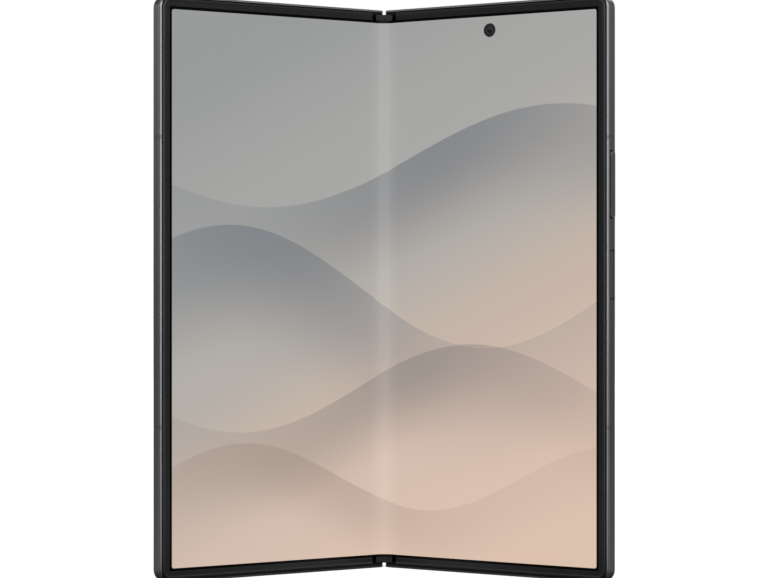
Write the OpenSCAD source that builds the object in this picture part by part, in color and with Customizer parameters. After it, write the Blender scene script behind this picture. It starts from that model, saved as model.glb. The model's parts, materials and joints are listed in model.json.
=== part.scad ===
// Foldable phone, standing half open on its lower edges.
// X runs across the fold, Y from the inner screen to the back, Z up along the fold.
// Each half is drawn flat in its own coordinates: u is the distance from the fold,
// v the depth behind the front of the frame, z the height. on_left() and on_right()
// then turn it to the angle at which the phone stands.

/* [Body] */
// Distance from the fold to the outer side of each half
half_w = 71.6; // [66:0.1:78]
// Height of the body, along the fold
body_h = 158.6; // [156:0.1:170]
// Thickness of each half
body_t = 4.2; // [4.2:0.05:4.8]
// Radius of the four outer corners
corner_r = 3.4; // [3.4:0.1:6]
// Rounding of the front edge of the metal frame
front_round = 0.6; // [0.3:0.05:0.6]
// Rounding of the rear edge of the metal frame
rear_round = 0.45; // [0.2:0.05:0.6]
// Thickness of the side walls of the frame
wall_t = 1.25; // [1:0.05:1.4]
// Width of the metal lip in front, beside the soft rim
lip_w = 0.65; // [0.65:0.05:0.8]
// Width of the metal lip behind, beside the glass
rear_lip = 0.85; // [0.7:0.05:0.95]
// Width of the ledge that carries the glass
ledge_w = 1.9; // [1.6:0.1:2.2]
// Depth of that ledge
ledge_t = 0.65; // [0.4:0.05:0.7]
// Thickness of the rear and cover glass
glass_t = 0.45; // [0.4:0.05:0.5]
// Thickness of the middle plate of the frame
plate_t = 0.45; // [0.4:0.05:0.5]
// Width of an antenna break in the side wall
break_w = 1.2; // [0.8:0.1:2]
// Height of the upper antenna break above the middle
break_up = 40.9; // [38:0.1:46]
// Depth of the lower antenna break below the middle
break_down = 37.3; // [34:0.1:44]

/* [Fold] */
// Angle of each half from flat, as the phone stands
rest_tilt = 32; // [10:1:60]
// Distance of each fold axis from the middle of the phone
fold_u = 1.35; // [1.3:0.01:1.4]
// Depth of each fold axis behind the front of the frame
fold_v = 1.1; // [1.05:0.01:1.15]
// Outer radius of the hinge cover about each fold axis
cover_r = 2.5; // [2.5:0.01:2.53]
// Wall of the hinge cover
cover_wall = 0.5; // [0.45:0.01:0.5]
// Gap round the hinge cover
cover_gap = 0.15; // [0.12:0.01:0.18]
// Height of the cover's side edges above the fold axes
cover_edge = 1.17; // [1.1:0.01:1.2]
// Gap between the hinge cover and the end walls
end_gap = 0.1; // [0.08:0.01:0.2]
// Distance of the frame's end walls from the middle
end_tip = 0.4; // [0.3:0.01:0.45]
// Rounding of the two corners where each end wall meets the fold
fold_corner_r = 1.3; // [0.6:0.05:1.4]
// Distance of the rear hinge strip from the middle
strip_tip = 0.1; // [0.08:0.01:0.2]
// Width of the metal strip along the hinge, behind
strip_w = 5.9; // [5.5:0.1:6.5]
// Width of the frame's rail along the hinge
rail_w = 7; // [6.8:0.1:7.4]
// Height of each hinge module's middle above and below the phone's middle
module_z = 50; // [42:0.5:56]

/* [Inner screen] */
// Depth of the screen's surface below the front of the frame
screen_v = 0.2; // [0.18:0.01:0.25]
// Thickness of the folding display
screen_t = 0.5; // [0.4:0.01:0.5]
// Thickness of the steel plate behind each display panel
support_t = 0.15; // [0.1:0.01:0.15]
// Distance of the panel's edge from the outside of the body
screen_inset = 2.7; // [2.6:0.05:3]
// Distance from the middle at which the display stops bending
bend_w = 4.5; // [4:0.1:5]
// Extra width of the folding strip past the bend
bend_land = 0.3; // [0.25:0.05:0.5]
// Gap where the folding strip meets a panel
panel_gap = 0.02; // [0.01:0.01:0.05]
// Distance of the soft rim's outer side from the outside of the body
rim_out = 0.95; // [0.9:0.05:1.05]
// Width of the soft rim
rim_w = 2.05; // [1.9:0.05:2.3]
// Width of the round bead along the outer side of the soft rim
ridge_w = 0.85; // [0.6:0.05:1]
// Height of that bead above the frame
ridge_h = 0.2; // [0.1:0.01:0.25]
// Distance from the middle at which the soft rim ends at the fold
rim_end = 4.4; // [4.1:0.1:4.8]
// Half width of the hinge's end caps
cap_w = 2.35; // [2:0.05:2.7]
// Distance of the end caps' inner side from the end of the body
cap_z = 3.05; // [2.6:0.05:3.1]
// Distance of the front camera from the middle
inner_cam_u = 34.7; // [30:0.1:40]
// Distance of the front camera from the top of the body
inner_cam_z = 7.6; // [7:0.1:9]
// Radius of the hole that the front camera looks through
inner_cam_r = 1.95; // [1.5:0.05:2.2]

/* [Hinge works] */
// Inner radius of the curved sliders that guide each half
slider_r = 1.45; // [1.4:0.01:1.5]
// Thickness of those sliders
slider_t = 0.5; // [0.4:0.01:0.5]
// Running clearance of the sliders
slider_gap = 0.05; // [0.04:0.01:0.06]
// Length of each slider along the fold
slider_len = 5; // [4:0.1:5.4]
// Pitch radius of the four timing gears
gear_r = 0.7; // [0.68:0.01:0.7]
// Teeth of a timing gear
gear_teeth = 10; // [8:2:12]
// Length of the timing gears
gear_len = 5; // [4:0.1:6]
// Depth of the gears' shafts behind the front of the frame
gear_v = 1.9; // [1.86:0.01:1.94]
// Radius of the gears' shafts
shaft_r = 0.25; // [0.2:0.01:0.28]
// Thickness of a timing arm
arm_t = 0.35; // [0.3:0.01:0.4]
// Reach of a timing arm from its shaft
arm_len = 6.9; // [6:0.1:7.2]
// Radius of the hinge screws' heads
screw_head_r = 0.7; // [0.5:0.05:0.8]
// Radius of the hinge screws' shanks
screw_r = 0.35; // [0.3:0.01:0.4]

/* [Keys and tray] */
// Length of the volume rocker
rocker_len = 18.3; // [16:0.1:20]
// Height of the volume rocker's middle above the middle of the body
rocker_z = 28.15; // [26:0.1:29]
// Height of the rocker above the side wall
rocker_h = 0.35; // [0.3:0.05:0.6]
// Width of the volume rocker
rocker_w = 2.2; // [2:0.05:2.3]
// Length of the power key
power_len = 13.2; // [12:0.1:14]
// Height of the power key's middle above the middle of the body
power_z = 3.8; // [2:0.1:5]
// Width of the power key
power_w = 2; // [1.8:0.05:2]
// Clearance round both keys
key_gap = 0.1; // [0.08:0.01:0.15]
// Travel of the power key
key_travel = 0.25; // [0.2:0.01:0.3]
// Depth of the rocker's pivot inside the side wall
pivot_s = 0.7; // [0.65:0.01:0.75]
// Radius of the rocker's pivot
pivot_r = 0.22; // [0.18:0.01:0.24]
// Width of the card tray's face
tray_w = 12.4; // [11:0.1:13]
// Thickness of the card tray's face
tray_t = 1.1; // [1:0.05:1.2]
// Length of the card tray
tray_len = 18; // [17:0.1:19]
// Distance of the card tray's middle from the fold
tray_u = 55.5; // [54:0.1:57]

/* [Cameras and ports] */
// Radius of the rear lenses
lens_r = 4.5; // [3.5:0.1:5]
// Distance between the rear lenses
lens_pitch = 14; // [13.2:0.1:15]
// Distance of the rear lenses from the outer side
lens_inset = 12.6; // [11:0.1:14]
// Distance of the upper rear lens from the top
lens_top = 16.4; // [15:0.1:20]
// Width of the camera plate
island_w = 15; // [14:0.1:16]
// Height of the camera plate above the back
island_h = 1; // [0.6:0.05:1.4]
// Height of the lens rings above the camera plate
ring_h = 0.6; // [0.4:0.05:0.9]
// Width of the lens rings
ring_w = 1; // [0.7:0.05:1.2]
// Width of each rear camera's body
camera_body_w = 10.8; // [9.6:0.1:11.6]
// Distance of the flash from the upper rear lens
flash_away = 10.5; // [9.6:0.1:12]
// Radius of the flash window
flash_r = 1.8; // [1.4:0.05:2]
// Width of the charging socket's opening
socket_w = 8.34; // [8.3:0.01:8.4]
// Height of the charging socket's opening
socket_h = 2.56; // [2.5:0.01:2.6]
// Wall of the charging socket
socket_wall = 0.1; // [0.08:0.01:0.1]
// Depth of the charging socket
socket_len = 7.3; // [6.5:0.1:8]
// Distance of the charging socket from the fold
socket_u = 36; // [30:0.1:40]
// Number of slots in front of each speaker
slots = 6; // [3:1:7]
// Width of a speaker slot
slot_w = 1.6; // [1.2:0.1:1.8]

/* [Inside] */
// Distance of both batteries from the fold
battery_u = 13; // [12:0.1:14]
// Width of both batteries
battery_w = 50; // [44:0.5:50.5]
// Height of the left battery
left_battery_h = 80; // [60:0.5:81]
// Height of the right battery
right_battery_h = 67; // [50:0.5:67]
// Thickness of both batteries
battery_t = 1.85; // [1.4:0.05:1.9]
// Height of the left battery's foot above the lower end
left_battery_z = 36; // [30:0.5:37]
// Height of the right battery's foot above the lower end
right_battery_z = 30; // [27:0.5:31]
// Gap between each battery and the board above it
board_gap = 4; // [3:0.1:5]
// Width of the main board
main_board_w = 34; // [30:0.5:36]
// Distance of the main board from the top of the body
main_board_top = 12; // [11.5:0.1:14]
// Width of the left board
left_board_w = 31; // [28:0.5:34]
// Height of the left board
left_board_h = 20; // [16:0.5:22]
// Width of the charging board
charging_board_w = 31; // [28:0.5:34]
// Height of the charging board
charging_board_h = 15; // [13:0.5:17]
// Width of the vibration motor
motor_w = 14; // [12:0.5:15]
// Height of the vibration motor
motor_h = 9; // [8:0.5:10]
// Distance of the vibration motor from the fold
motor_u = 46; // [42:0.5:48]
// Height of the vibration motor above the lower end
motor_z = 16; // [12:0.5:18]
// Width of the upper speaker
top_speaker_w = 18; // [16:0.5:19]
// Height of the upper speaker
top_speaker_h = 9; // [8:0.5:10]
// Width of the lower speaker
bottom_speaker_w = 16; // [15.5:0.5:17]
// Height of the lower speaker
bottom_speaker_h = 22; // [18:0.5:24]
// Length of a magnet
magnet_len = 14; // [10:0.5:15]
// Width of a magnet
magnet_w = 3; // [2.5:0.1:3.2]
// Height of the upper magnets' middles above the middle of the body
magnet_up = 23; // [22:0.5:25]
// Depth of the lower magnets' middles below the middle of the body
magnet_down = 23; // [21:0.5:25]
// Thickness of the circuit boards
board_t = 0.5; // [0.4:0.05:0.6]
// Thickness of the shield cans and chips
can_t = 1.2; // [0.8:0.05:1.2]
// Thickness of the cover display panel
cover_panel_t = 0.3; // [0.25:0.05:0.35]
// Outer radius of the charging coil
coil_r = 20; // [15:0.5:22]
// Clearance between parts that are bonded in place
fit = 0.05; // [0.03:0.01:0.1]

/* [Hidden] */
$fn = 64;

mid_z = body_h / 2;
plate_v = screen_v + screen_t + support_t;
deck_v = plate_v + plate_t;
glass_v = body_t - glass_t;
ledge_v = glass_v - ledge_t;
glass_edge = rear_lip + 2 * fit;
glass_u = strip_w + 2 * fit;
over = 1;

// Depth at which each half is turned, so that the phone stands centred on the origin
front_y = fold_v - (half_w - front_round - fold_u) * sin(rest_tilt)
    + (front_round - fold_v) * cos(rest_tilt) - front_round;
back_y = fold_v + (fold_u - strip_tip) * sin(rest_tilt) + (body_t - fold_v) * cos(rest_tilt);
fold_y = -(front_y + back_y) / 2;

// Hinge works, as heights from a module's middle
cover_in = cover_r - cover_wall;
cover_z = wall_t + end_gap;
cap_v = screen_v + 0.1;
cap_t = 0.6;
post_w = 1.2;
works_v = 1;
gear_bottom = -7.5;
stack_bottom = -14;
bearing_t = 1.5;
side_gap = 0.2;
slider_start = 12;
slider_end = 150;
slider_low = 1;
slider_rib = 0.6;
slider_z = [slider_low, slider_low + slider_len + 2 * side_gap + slider_rib];
works_top = slider_z[1] + slider_len + side_gap;
foot_len = 2;
flange_u = 4.6;
flange_len = 5.4;
flange_t = 0.6;
neck_t = 0.45;
screw_back = 1.6;
screw_in = 1.1;
screw_u = flange_u + flange_len - screw_back;
head_t = 0.3;
window_top = gear_v + 0.65;
gear_u = [-3 * gear_r, -gear_r, gear_r, 3 * gear_r];
gear_step = 360 / gear_teeth;
bore_gap = 0.02;

// Keys and tray
key_v = (deck_v + ledge_v) / 2 + fit;
key_in = wall_t - 0.3;
flange_s = wall_t + 0.35;
key_flange_t = 0.25;
key_flange_w = 1.5;
flex_s = flange_s + key_flange_t + key_travel + 0.3;
flex_t = 0.2;
dome_t = flex_s - (flange_s + key_flange_t + key_travel) - 0.02;
tray_v = 2.3;
tray_body_w = tray_w - 2;
tray_body_t = 0.8;
reader_wall = 0.3;
reader_gap = 0.1;

// Cameras, ports and boards
lens_u = half_w - lens_inset;
lens_z = [for (i = [0:2]) body_h - lens_top - i * lens_pitch];
island_len = island_w + 2 * lens_pitch;
socket_v = plate_v + 2 * fit + socket_wall + socket_h / 2;
battery_v = deck_v + fit;
board_v = deck_v + 2 * fit;
cover_panel_v = glass_v - fit - cover_panel_t;
cover_cam_u = 38;
cell_top = battery_v + battery_t;
magnet_u = half_w - 6.1;

module on_spine() translate([0, fold_y, 0]) children();

module on_right()
    on_spine() translate([fold_u, fold_v, 0]) rotate([0, 0, -rest_tilt])
        translate([-fold_u, -fold_v, 0]) children();

module on_left() mirror([1, 0, 0]) on_right() children();

// Both ends of the body, the second mirrored
module at_ends() for (m = [0, 1]) translate([0, 0, m * body_h]) mirror([0, 0, m]) children();

module at_modules() for (s = [-1, 1]) translate([0, 0, mid_z + s * module_z]) children();

function arc(centre, r, from, to, steps = 6) =
    [for (i = [0:steps]) let (a = from + (to - from) * i / steps) centre + r * [cos(a), sin(a)]];

// Rectangle with four round corners
module round_rect(size, r) {
    translate([r, 0]) square([size[0] - 2 * r, size[1]]);
    translate([0, r]) square([size[0], size[1] - 2 * r]);
    for (x = [r, size[0] - r], y = [r, size[1] - r]) translate([x, y]) circle(r);
}

// An outline in u and z, given thickness from v0 to v1
module plate(v0, v1) translate([0, v1, 0]) rotate([90, 0, 0]) linear_extrude(v1 - v0) children();

// Plain block, from its low corner to its high corner
module block(low, high) translate(low) cube(high - low);

// Round pin along v
module pin(u, z, r, v0, v1) plate(v0, v1) translate([u, z]) circle(r);

// Outline of a panel that starts at u0 and follows the body's outside at a distance
module panel_outline(u0, inset) {
    r = corner_r - inset;
    translate([u0, inset]) square([half_w - inset - r - u0, body_h - 2 * inset]);
    translate([u0, inset + r]) square([half_w - inset - u0, body_h - 2 * (inset + r)]);
    for (z = [corner_r, body_h - corner_r]) translate([half_w - corner_r, z]) circle(r);
}

// A section drawn in distance from the outside and depth, carried round three sides
module edge_sweep(u0) {
    translate([half_w, 0, corner_r]) linear_extrude(body_h - 2 * corner_r)
        mirror([1, 0]) children();
    at_ends() {
        translate([u0, 0, 0]) mirror([0, 0, 1]) rotate([0, 90, 0])
            linear_extrude(half_w - corner_r - u0) children();
        translate([half_w - corner_r, 0, corner_r]) rotate([-90, 0, 0])
            rotate_extrude(angle = 90) translate([corner_r, 0]) mirror([1, 0]) children();
    }
}

module wall_section()
    polygon(concat(
        arc([front_round, front_round], front_round, 180, 270),
        [[lip_w, 0], [lip_w, plate_v], [wall_t, plate_v], [wall_t, ledge_v],
         [ledge_w, ledge_v], [ledge_w, glass_v], [rear_lip, glass_v],
         [rear_lip, body_t]],
        arc([rear_round, body_t - rear_round], rear_round, 90, 180)));

module rim_section() {
    lip_v = screen_v - 0.02;
    in = rim_out + rim_w;
    body = screen_inset - fit;
    bead_r = (ridge_w * ridge_w / 4 + ridge_h * ridge_h) / (2 * ridge_h);
    low = atan2(bead_r - ridge_h, ridge_w / 2);
    polygon(concat([[rim_out, plate_v]],
        arc([rim_out + ridge_w / 2, bead_r - ridge_h], bead_r, 180 + low, 360 - low),
        [[in - 0.1, 0.02], [in, 0.1], [in, lip_v], [body, lip_v], [body, plate_v]]));
}

// The parts of the side wall that are not metal
module break_zones()
    for (z = [mid_z + break_up, mid_z - break_down])
        block([half_w - wall_t, -over, z - break_w / 2], [half_w + over, body_t + over, z + break_w / 2]);

// Room for the hinge cover, between the end walls
module hinge_channel() {
    r = cover_r + cover_gap;
    translate([fold_u, fold_v, wall_t]) cylinder(r = r, h = body_h - 2 * wall_t);
    block([-over, -over, wall_t], [fold_u, fold_v + r, body_h - wall_t]);
}

module frame_body() {
    tip_r = fold_u - end_tip;
    difference() {
        union() {
            edge_sweep(end_tip) wall_section();
            plate(plate_v, deck_v) panel_outline(fold_u, lip_w + fit);
            block([fold_u, plate_v, lip_w + fit], [rail_w, glass_v, body_h - lip_w - fit]);
            block([strip_tip, fold_v + cover_r, rear_lip / 2],
                [strip_w, body_t, body_h - rear_lip / 2]);
        }
        hinge_channel();
        // Rounded front corner of each end wall, clear of the other half as it folds
        translate([0, 0, -over]) linear_extrude(body_h + 2 * over) difference() {
            translate([-over, -over]) square([fold_u + over, tip_r + over]);
            translate([fold_u, tip_r]) circle(tip_r);
        }
        at_ends() plate(-over, body_t + over) difference() {
            translate([-over, -over]) square([end_tip + fold_corner_r + over, fold_corner_r + over]);
            translate([end_tip, 0] + fold_corner_r * [1, 1]) circle(fold_corner_r);
        }
        at_modules() block([0, deck_v, gear_bottom - 2], [rail_w + over, window_top, works_top + 1]);
        at_modules() slider_screw_places() pin(0, 0, screw_r + bore_gap, plate_v - over, deck_v + over);
        break_zones();
    }
}

module slot_row(u, count, pitch)
    for (i = [0:count - 1]) translate([u + (i - (count - 1) / 2) * pitch, 0, 0]) children();

// Pill-shaped passage through an end wall, long across u
module end_pill(size, z0, z1)
    translate([-size[0] / 2, -size[1] / 2, z0]) linear_extrude(z1 - z0)
        round_rect(size, size[1] / 2 - 0.001);

module speaker_slots(u) slot_row(u, slots, slot_w + 0.9) translate([0, tray_v, 0])
    end_pill([slot_w, 0.9], -over, wall_t + over);

module key_slot(z, len, w)
    block([half_w - wall_t - 0.01, key_v - w / 2 - key_gap, z - len / 2 - key_gap],
        [half_w + over, key_v + w / 2 + key_gap, z + len / 2 + key_gap]);

// Pivot that the rocker tilts on, held in the side wall
module rocker_pivot(r, half_len)
    pin(half_w - pivot_s, mid_z + rocker_z, r, key_v - half_len, key_v + half_len);

// --- the left half -------------------------------------------------------------------

module left_frame() color("#5f5f62") on_left() difference() {
    frame_body();
    translate([tray_u, tray_v, body_h])
        end_pill([tray_w + 2 * reader_gap, tray_t + 2 * reader_gap], -ledge_w - over, over);
    translate([0, 0, body_h]) mirror([0, 0, 1]) speaker_slots(top_speaker_u);
}

module antenna_breaks() intersection() {
    edge_sweep(end_tip) wall_section();
    break_zones();
}

module left_antenna_breaks() color("#6e6e70") on_left() antenna_breaks();

module bezel() edge_sweep(rim_end) rim_section();

module left_bezel() color("#242424") on_left() bezel();

module display_outline() panel_outline(bend_w + bend_land + panel_gap, screen_inset);

module left_display() color("#101216") on_left()
    plate(screen_v, screen_v + screen_t) display_outline();

module left_support_plate() color("#8b8b8e") on_left()
    plate(screen_v + screen_t, plate_v) display_outline();

// Places of the screws in the sliders' flanges, as heights from a module's middle
module slider_screw_places() for (z = slider_z, s = [-1, 1])
    translate([screw_u, 0, z + slider_len / 2 + s * (slider_len / 2 - screw_in)]) children();

// A curved slider with its neck and flange
module slider() difference() {
    union() {
        linear_extrude(slider_len) intersection() {
            difference() {
                translate([fold_u, fold_v]) circle(slider_r + slider_t);
                translate([fold_u, fold_v]) circle(slider_r);
            }
            translate([fold_u, fold_v]) polygon(concat([[0, 0]],
                arc([0, 0], 2 * cover_r, slider_start, slider_end, 8)));
        }
        linear_extrude(slider_len) difference() {
            translate([fold_u, deck_v]) square([flange_u + neck_t - fold_u, neck_t]);
            translate([fold_u, fold_v]) circle(slider_r);
        }
        block([flange_u, deck_v, 0], [flange_u + flange_len, deck_v + flange_t, slider_len]);
    }
    for (s = [-1, 1])
        pin(screw_u, slider_len / 2 + s * (slider_len / 2 - screw_in), screw_r + bore_gap, 0, body_t);
}

module left_sliders() color("#9a9a9e") on_left() at_modules()
    translate([0, 0, slider_z[0]]) slider();

module slider_screws(z0) at_modules()
    for (s = [-1, 1]) translate([0, 0, z0 + slider_len / 2 + s * (slider_len / 2 - screw_in)]) {
        pin(screw_u, 0, screw_r, plate_v + 0.05, deck_v + flange_t);
        difference() {
            pin(screw_u, 0, screw_head_r, deck_v + flange_t, deck_v + flange_t + head_t);
            plate(deck_v + flange_t + head_t / 2, body_t) translate([screw_u, 0]) {
                square([screw_head_r * 1.3, 0.15], center = true);
                square([0.15, screw_head_r * 1.3], center = true);
            }
        }
    }

module left_hinge_screws() color("#b8b8bc") on_left() slider_screws(slider_z[0]);

module rear_outline() panel_outline(glass_u, glass_edge);

module cover_glass() color("#0c0d0f") on_left() plate(glass_v, body_t) rear_outline();

module cover_display_panel() color("#15171a") on_left() difference() {
    plate(cover_panel_v, cover_panel_v + cover_panel_t) panel_outline(rail_w + 4 * fit, ledge_w + 2 * fit);
    pin(cover_cam_u, body_h - inner_cam_z, inner_cam_r, 0, body_t);
}

module small_camera(u, v0, v1) {
    z = body_h - inner_cam_z;
    pin(u, z, inner_cam_r - 2 * fit, v0, v1);
    plate(battery_v, cover_panel_v - 0.2) translate([u - 3, z - 3]) round_rect([6, 6], 0.6);
}

module cover_camera() color("#1c1c1f") on_left()
    small_camera(cover_cam_u, battery_v, glass_v - fit);

module battery(height, z0) plate(battery_v, cell_top)
    translate([battery_u, z0]) round_rect([battery_w, height], 1.5);

module left_battery() color("#2f3236") on_left() battery(left_battery_h, left_battery_z);

left_board_z = left_battery_z + left_battery_h + board_gap;

module left_board() color("#1f5a3c") on_left() plate(board_v, board_v + board_t)
    translate([battery_u, left_board_z]) round_rect([left_board_w, left_board_h], 1);

module left_board_chips() color("#2a2a2d") on_left()
    for (c = [[0.1, 0.15, 0.3, 0.4], [0.5, 0.2, 0.2, 0.3], [0.75, 0.15, 0.15, 0.65],
            [0.13, 0.65, 0.5, 0.25]])
        plate(board_v + board_t, board_v + board_t + can_t * 0.7)
            translate([battery_u + c[0] * left_board_w, left_board_z + c[1] * left_board_h])
                square([c[2] * left_board_w, c[3] * left_board_h]);

top_speaker_u = 22.5;

module top_speaker() color("#3a3a3d") on_left()
    plate(battery_v, ledge_v - fit)
        translate([top_speaker_u - top_speaker_w / 2, body_h - wall_t - 2 * fit - top_speaker_h])
            round_rect([top_speaker_w, top_speaker_h], 1);

module vibration_motor() color("#a9a9ad") on_left() {
    plate(battery_v, cell_top) translate([motor_u, motor_z]) round_rect([motor_w, motor_h], 1);
    plate(battery_v, battery_v + 0.3)
        translate([motor_u - motor_w / 7, motor_z + motor_h * 0.28])
            square([motor_w * 9 / 7, motor_h * 0.44]);
}

module magnets() for (z = [mid_z - magnet_down, mid_z + magnet_up])
    plate(battery_v, cell_top - 0.2)
        translate([magnet_u, z - magnet_len / 2]) round_rect([magnet_w, magnet_len], 0.4);

module left_magnets() color("#c4c4c8") on_left() magnets();

module sim_reader() color("#b0b0b4") on_left() {
    in_w = tray_body_w + 2 * reader_gap;
    in_t = tray_body_t + 2 * reader_gap;
    top = body_h - wall_t - fit;
    bottom = body_h - tray_len - reader_wall - 0.4;
    difference() {
        block([tray_u - in_w / 2 - reader_wall, deck_v, bottom],
            [tray_u + in_w / 2 + reader_wall, tray_v + in_t / 2 + reader_wall, top]);
        block([tray_u - in_w / 2, tray_v - in_t / 2, bottom + reader_wall],
            [tray_u + in_w / 2, tray_v + in_t / 2, top + over]);
    }
}

module sim_tray() color("#5f5f62") on_left() translate([tray_u, tray_v, 0]) {
    translate([0, 0, body_h]) difference() {
        end_pill([tray_w, tray_t], -wall_t, 0);
        translate([-tray_w / 2 + 1.4, 0, -over]) cylinder(r = 0.35, h = 2 * over);
    }
    difference() {
        block([-tray_body_w / 2, -tray_body_t / 2, body_h - tray_len],
            [tray_body_w / 2, tray_body_t / 2, body_h - wall_t]);
        block([-tray_body_w / 2 + 0.7, -over, body_h - tray_len + 0.8],
            [tray_body_w / 2 - 0.7, over, body_h - wall_t - 3.4]);
    }
}

// --- the right half ------------------------------------------------------------------

module right_frame() color("#5f5f62") on_right() difference() {
    frame_body();
    key_slot(mid_z + rocker_z, rocker_len, rocker_w);
    key_slot(mid_z + power_z, power_len, power_w);
    rocker_pivot(pivot_r + 0.04, rocker_w / 2 + 0.3);
    translate([socket_u, socket_v, 0])
        end_pill([socket_w, socket_h] + 2 * (socket_wall + fit) * [1, 1], -over, socket_len + 1);
    speaker_slots(bottom_speaker_u);
    pin(inner_cam_u, body_h - inner_cam_z, inner_cam_r, plate_v - over, deck_v + over);
}

module right_antenna_breaks() color("#6e6e70") on_right() antenna_breaks();

module right_bezel() color("#242424") on_right() bezel();

module inner_cam_hole() translate([inner_cam_u, body_h - inner_cam_z]) circle(inner_cam_r);

module right_display() color("#101216") on_right() plate(screen_v, screen_v + screen_t)
    difference() { display_outline(); inner_cam_hole(); }

module right_support_plate() color("#8b8b8e") on_right() plate(screen_v + screen_t, plate_v)
    difference() { display_outline(); inner_cam_hole(); }

module right_sliders() color("#9a9a9e") on_right() at_modules()
    translate([0, 0, slider_z[1]]) slider();

module right_hinge_screws() color("#b8b8bc") on_right() slider_screws(slider_z[1]);

module at_lenses() for (z = lens_z) translate([lens_u, 0, z]) children();

flash_u = lens_u - flash_away;
flash_base_w = 2 * flash_r + 1.4;

module back_glass() color("#38393d") on_right() difference() {
    plate(glass_v, body_t) rear_outline();
    at_lenses() pin(0, 0, lens_r + fit, glass_v - over, body_t + over);
    pin(flash_u, lens_z[0], flash_r + fit, glass_v - over, body_t + over);
}

module camera_plate() color("#4a4a4e") on_right() difference() {
    plate(body_t, body_t + island_h) translate([lens_u - island_w / 2, lens_z[2] - island_w / 2])
        round_rect([island_w, island_len], island_w / 2 - 0.001);
    at_lenses() pin(0, 0, lens_r + fit, body_t - over, body_t + island_h + over);
}

module camera_rings() color("#8e8e92") on_right() at_lenses() difference() {
    pin(0, 0, lens_r + ring_w, body_t + island_h, body_t + island_h + ring_h);
    pin(0, 0, lens_r, body_t, body_t + island_h + ring_h + over);
}

module camera_lenses() color("#101114") on_right() at_lenses()
    pin(0, 0, lens_r - fit, body_t + island_h, body_t + island_h + ring_h * 0.6);

module camera_modules() color("#222225") on_right() at_lenses() {
    plate(battery_v, glass_v - 0.1) translate(-camera_body_w / 2 * [1, 1])
        round_rect([camera_body_w, camera_body_w], 0.8);
    pin(0, 0, lens_r - 0.4, glass_v - 0.1, body_t + island_h - fit);
}

module flash_led() color("#f0ead8") on_right() {
    pin(flash_u, lens_z[0], flash_r, glass_v, body_t + 0.05);
    plate(cell_top - 0.2, glass_v) translate([flash_u, lens_z[0]])
        square(flash_base_w, center = true);
}

module inner_camera() color("#232323") on_right()
    small_camera(inner_cam_u, screen_v + 0.15, battery_v + fit);

module right_battery() color("#2f3236") on_right() battery(right_battery_h, right_battery_z);

main_board_z = right_battery_z + right_battery_h + board_gap;
main_board_h = body_h - main_board_top - main_board_z;

module main_board() color("#1f5a3c") on_right() plate(board_v, board_v + board_t)
    translate([battery_u, main_board_z]) round_rect([main_board_w, main_board_h], 1);

module shield_cans() color("#c2c2c6") on_right()
    for (c = [[0.06, 0.05, 0.44, 0.42], [0.56, 0.07, 0.38, 0.31], [0.09, 0.53, 0.82, 0.18],
            [0.6, 0.42, 0.24, 0.07]])
        plate(board_v + board_t, board_v + board_t + can_t)
            translate([battery_u + c[0] * main_board_w, main_board_z + c[1] * main_board_h])
                round_rect([c[2] * main_board_w, c[3] * main_board_h], 0.5);

module usb_port() color("#a8a8ac") on_right() translate([socket_u, socket_v, 0]) {
    outer = [socket_w, socket_h] + 2 * socket_wall * [1, 1];
    difference() {
        end_pill(outer, 0.1, socket_len);
        end_pill([socket_w, socket_h], 0, socket_len - 0.4);
    }
    block([-3.35, -0.35, 1.2], [3.35, 0.35, socket_len - 0.2]);
}

module charging_board() color("#1f5a3c") on_right() {
    plate(board_v, board_v + board_t) translate([battery_u + 1, socket_len + 1.4])
        round_rect([charging_board_w, charging_board_h], 1);
    plate(board_v + board_t, board_v + board_t + can_t)
        translate([battery_u + 5, socket_len + 4])
            square([charging_board_w * 0.29, charging_board_h * 0.6]);
    plate(board_v + board_t, board_v + board_t + 0.8)
        translate([socket_u - 4.4, socket_len + 1.5]) square([8.8, 3]);
}

bottom_speaker_u = half_w - 13.6;

module bottom_speaker() color("#3a3a3d") on_right()
    plate(battery_v, ledge_v - fit)
        translate([bottom_speaker_u - bottom_speaker_w / 2, wall_t + 2 * fit])
            round_rect([bottom_speaker_w, bottom_speaker_h], 1);

module key_flex() color("#b5792a") on_right() {
    z0 = mid_z + power_z - power_len / 2;
    z1 = mid_z + rocker_z + rocker_len / 2;
    block([half_w - flex_s - flex_t, deck_v, z0], [half_w - flex_s, key_v + key_flange_w / 2, z1]);
    for (z = [mid_z + power_z, mid_z + rocker_z - 6, mid_z + rocker_z + 6])
        translate([half_w - flex_s, key_v, z]) rotate([0, 90, 0])
            cylinder(r = 0.7, h = dome_t);
}

module wireless_coil() on_right() {
    z = right_battery_z + right_battery_h / 2;
    u = battery_u + battery_w / 2;
    color("#3c3c40") pin(u, z, coil_r + 1.5, cell_top, cell_top + 0.15);
    color("#b87348") for (i = [0:5]) difference() {
        pin(u, z, coil_r - i * 1.5, cell_top + 0.15, cell_top + 0.3);
        pin(u, z, coil_r - i * 1.5 - 1, cell_top, body_t);
    }
}

module right_magnets() color("#c4c4c8") on_right() magnets();

// A key from its outer face in, with the flange that keeps it in its slot
module key(z, len, w, face) {
    r = w / 2 - 0.01;
    translate([half_w - key_in, key_v, z]) rotate([0, 90, 0]) linear_extrude(key_in + face)
        translate([-len / 2, -w / 2]) round_rect([len, w], r);
    block([half_w - flange_s, key_v - key_flange_w / 2, z - len / 2 + r],
        [half_w - key_in, key_v + key_flange_w / 2, z + len / 2 - r]);
    block([half_w - flange_s - key_flange_t, key_v - key_flange_w / 2, z - len / 2 - 0.6],
        [half_w - flange_s, key_v + key_flange_w / 2, z + len / 2 + 0.6]);
}

module power_key() color("#56565a") on_right()
    key(mid_z + power_z, power_len, power_w, -0.05);

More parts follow.
